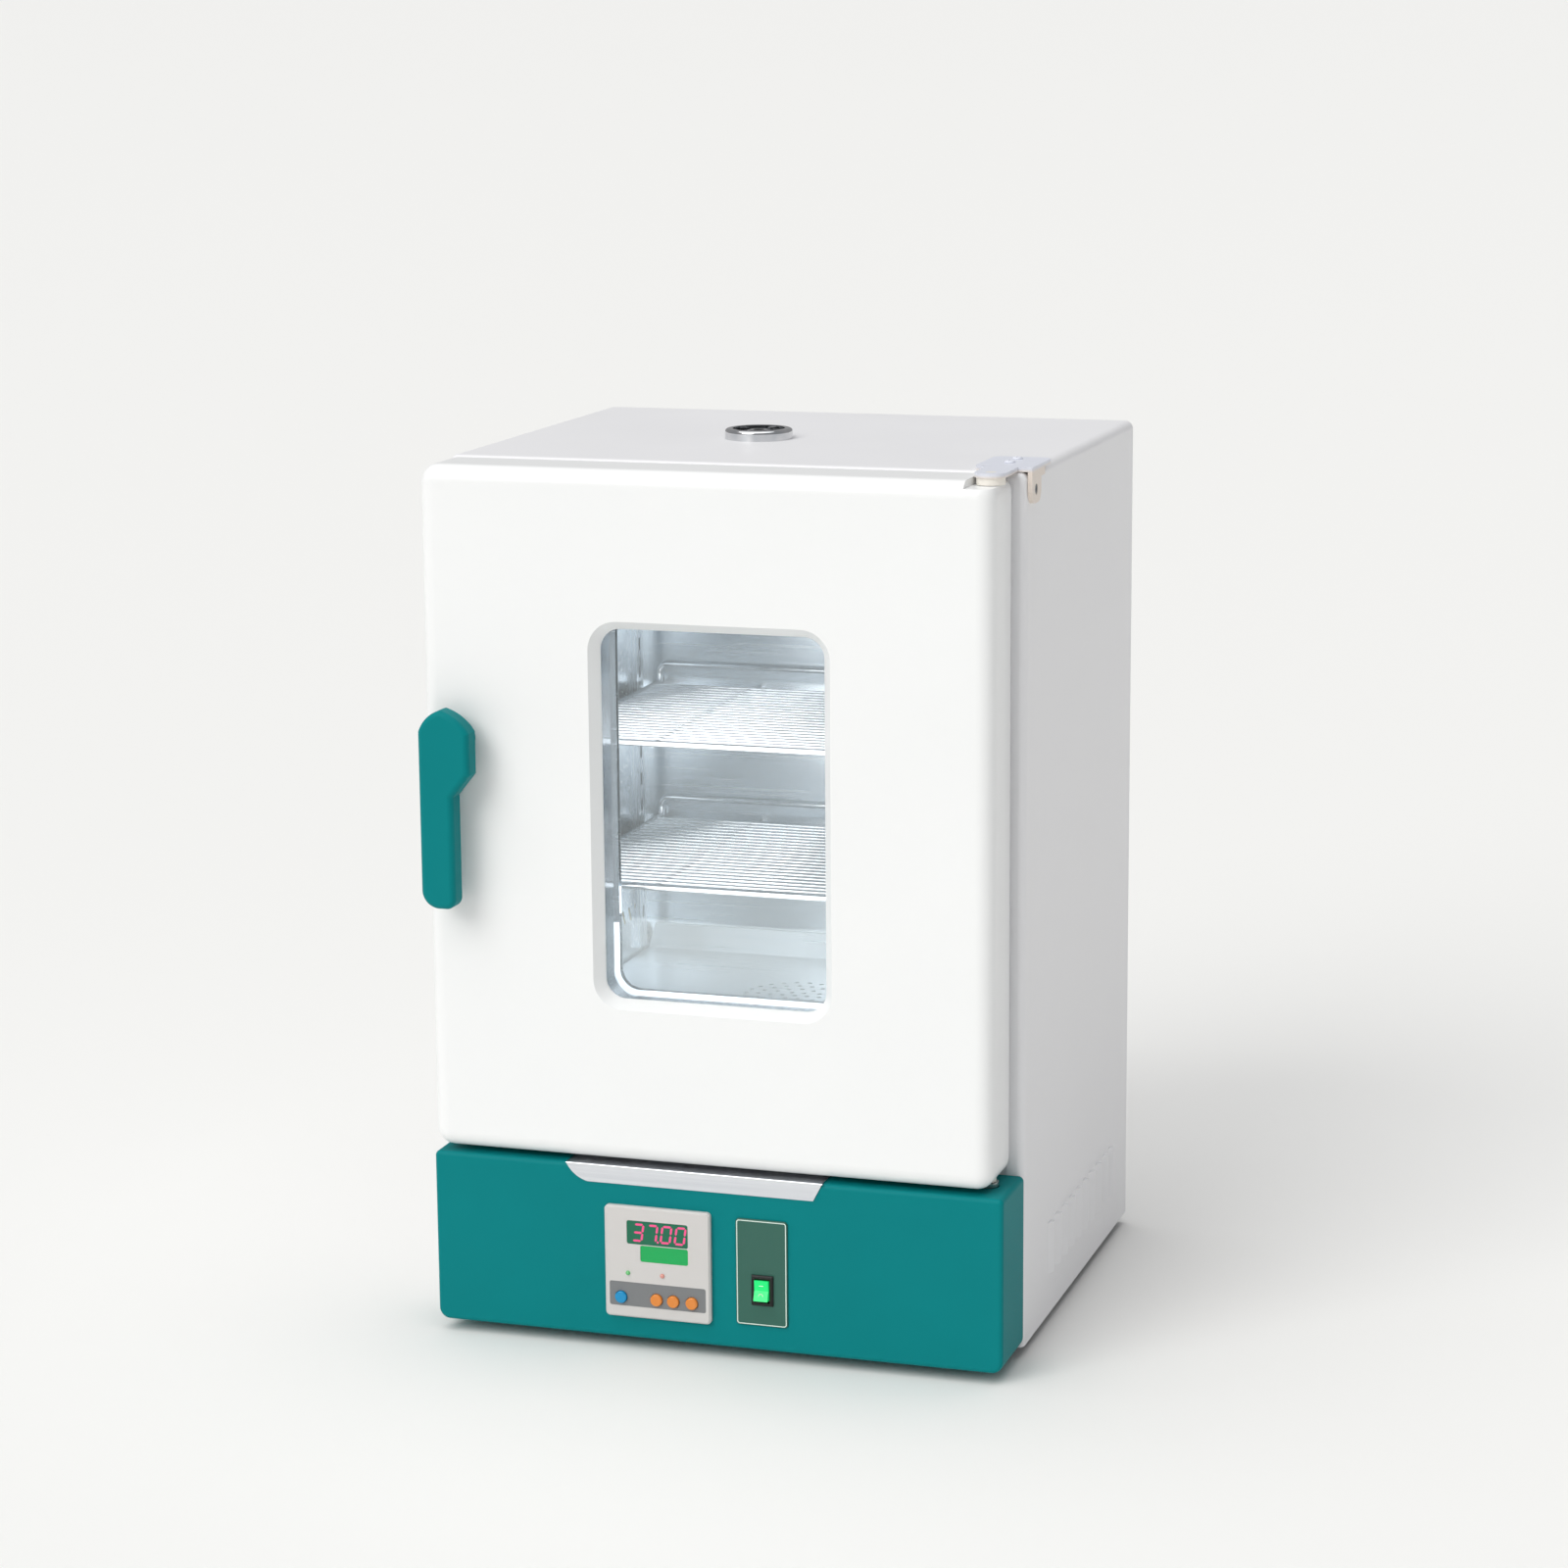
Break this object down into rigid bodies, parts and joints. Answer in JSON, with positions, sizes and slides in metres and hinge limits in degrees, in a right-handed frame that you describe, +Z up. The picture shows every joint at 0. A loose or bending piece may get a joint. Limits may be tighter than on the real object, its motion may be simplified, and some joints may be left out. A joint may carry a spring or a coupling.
{
  "type": "laboratory incubator",
  "caption": "Bench-top laboratory incubator: insulated steel cabinet with a hinged windowed front door, a turning latch lever, wire shelves, a top vent and a control base.",
  "frame": {"origin": "centre of the bounding box on the bench surface, under the rubber feet", "axes": "+X to the right as seen from the front, +Y to the back, +Z up; the door faces -Y"},
  "size_m": [0.406, 0.4056, 0.605],
  "materials": {
    "outer_wrap": "semi-gloss powder coat",
    "back_panel": "semi-gloss powder coat",
    "base_pan": "zinc-coated sheet",
    "rubber_feet": "matt black",
    "foot_screws": "zinc plated",
    "front_frame": "semi-gloss powder coat",
    "strike_plate": "satin stainless",
    "partition_plate": "zinc-coated sheet",
    "chamber_liner": "bright stainless",
    "insulation": "glass wool",
    "heating_tube": "dark heat-stained sheath",
    "heater_clips": "stainless strip",
    "floor_plate": "satin stainless",
    "temperature_probe": "stainless tube",
    "rack_left": "satin stainless",
    "rack_right": "satin stainless",
    "rails_lower": "satin stainless",
    "rails_upper": "satin stainless",
    "shelf_lower": "polished wire",
    "shelf_upper": "polished wire",
    "vent_duct": "stainless tube",
    "vent_collar": "chrome plated",
    "vent_damper": "chrome plated",
    "upper_bracket": "gloss paint",
    "upper_pin": "bright turned steel",
    "lower_bracket": "zinc plated",
    "lower_pin": "bright turned steel",
    "hinge_screws": "dark plated",
    "door_skin": "gloss powder coat",
    "door_panel": "satin stainless",
    "outer_pane": "clear",
    "inner_pane": "clear",
    "window_frame": "bright sheet",
    "window_seal": "matt",
    "door_insulation": "glass wool",
    "hinge_blocks": "zinc plated",
    "hinge_bushes": "acetal",
    "door_gasket": "pale silicone",
    "escutcheon": "teal, moulded",
    "handle_lever": "teal, moulded",
    "latch_spindle": "zinc plated",
    "fascia": "semi-gloss teal",
    "drip_lip": "bright stainless",
    "controller_case": "fine texture",
    "keypad_band": "membrane",
    "display_upper": "tinted window",
    "display_lower": "tinted window",
    "signal_lamps": "lens",
    "set_button": "blue",
    "shift_button": "orange",
    "down_button": "orange",
    "up_button": "orange",
    "controller_board": "circuit board",
    "switch_plate": "dark green face",
    "switch_body": "black",
    "rocker": "lit green",
    "terminal_block": "pale polyamide",
    "power_relay": "extruded",
    "cable_gland": "black polyamide",
    "panel_screws": "zinc plated"
  },
  "bodies": {
    "cabinet": {"outer_wrap": "outer_wrap", "back_panel": "back_panel", "base_pan": "base_pan", "rubber_feet": "rubber_feet", "foot_screws": "foot_screws", "front_frame": "front_frame", "strike_plate": "strike_plate", "partition_plate": "partition_plate", "chamber_liner": "chamber_liner", "insulation": "insulation", "heating_tube": "heating_tube", "heater_clips": "heater_clips", "floor_plate": "floor_plate", "temperature_probe": "temperature_probe", "rack_left": "rack_left", "rack_right": "rack_right", "rails_lower": "rails_lower", "rails_upper": "rails_upper", "vent_duct": "vent_duct", "vent_collar": "vent_collar", "upper_bracket": "upper_bracket", "upper_pin": "upper_pin", "lower_bracket": "lower_bracket", "lower_pin": "lower_pin", "hinge_screws": "hinge_screws", "fascia": "fascia", "drip_lip": "drip_lip", "controller_case": "controller_case", "keypad_band": "keypad_band", "display_upper": "display_upper", "display_lower": "display_lower", "signal_lamps": "signal_lamps", "controller_board": "controller_board", "switch_plate": "switch_plate", "switch_body": "switch_body", "terminal_block": "terminal_block", "power_relay": "power_relay", "cable_gland": "cable_gland", "panel_screws": "panel_screws"},
    "door": {"door_skin": "door_skin", "door_panel": "door_panel", "outer_pane": "outer_pane", "inner_pane": "inner_pane", "window_frame": "window_frame", "window_seal": "window_seal", "door_insulation": "door_insulation", "hinge_blocks": "hinge_blocks", "hinge_bushes": "hinge_bushes", "door_gasket": "door_gasket", "escutcheon": "escutcheon"},
    "lever": {"handle_lever": "handle_lever", "latch_spindle": "latch_spindle"},
    "damper": {"vent_damper": "vent_damper"},
    "rocker": {"rocker": "rocker"},
    "set_button": {"set_button": "set_button"},
    "shift_button": {"shift_button": "shift_button"},
    "down_button": {"down_button": "down_button"},
    "up_button": {"up_button": "up_button"},
    "shelf_lower": {"shelf_lower": "shelf_lower"},
    "shelf_upper": {"shelf_upper": "shelf_upper"}
  },
  "joints": [
    {"name": "door_hinge", "type": "hinge", "parent": "cabinet", "child": "door", "pos_m": [0.183, -0.14585, 0.363], "axis": [0, 0, 1], "range_deg": [0, 110]},
    {"name": "latch_turn", "type": "hinge", "parent": "door", "child": "lever", "pos_m": [-0.175, -0.17485, 0.417], "axis": [0, -1, 0], "range_deg": [0, 90]},
    {"name": "damper_turn", "type": "hinge", "parent": "cabinet", "child": "damper", "pos_m": [-0.027, 0.02285, 0.6007], "axis": [0, 0, 1], "range_deg": [0, 60]},
    {"name": "switch_rock", "type": "hinge", "parent": "cabinet", "child": "rocker", "pos_m": [0.0352, -0.17585, 0.0513], "axis": [1, 0, 0], "range_deg": [0, 18]},
    {"name": "set_press", "type": "slide", "parent": "cabinet", "child": "set_button", "axis": [0, 1, 0], "range_m": [0, 0.001], "stiffness_N_per_m": 300},
    {"name": "shift_press", "type": "slide", "parent": "cabinet", "child": "shift_button", "axis": [0, 1, 0], "range_m": [0, 0.001], "stiffness_N_per_m": 300},
    {"name": "down_press", "type": "slide", "parent": "cabinet", "child": "down_button", "axis": [0, 1, 0], "range_m": [0, 0.001], "stiffness_N_per_m": 300},
    {"name": "up_press", "type": "slide", "parent": "cabinet", "child": "up_button", "axis": [0, 1, 0], "range_m": [0, 0.001], "stiffness_N_per_m": 300},
    {"name": "shelf_lower_slide", "type": "slide", "parent": "cabinet", "child": "shelf_lower", "axis": [0, -1, 0], "range_m": [0, 0.02]},
    {"name": "shelf_upper_slide", "type": "slide", "parent": "cabinet", "child": "shelf_upper", "axis": [0, -1, 0], "range_m": [0, 0.02]}
  ]
}
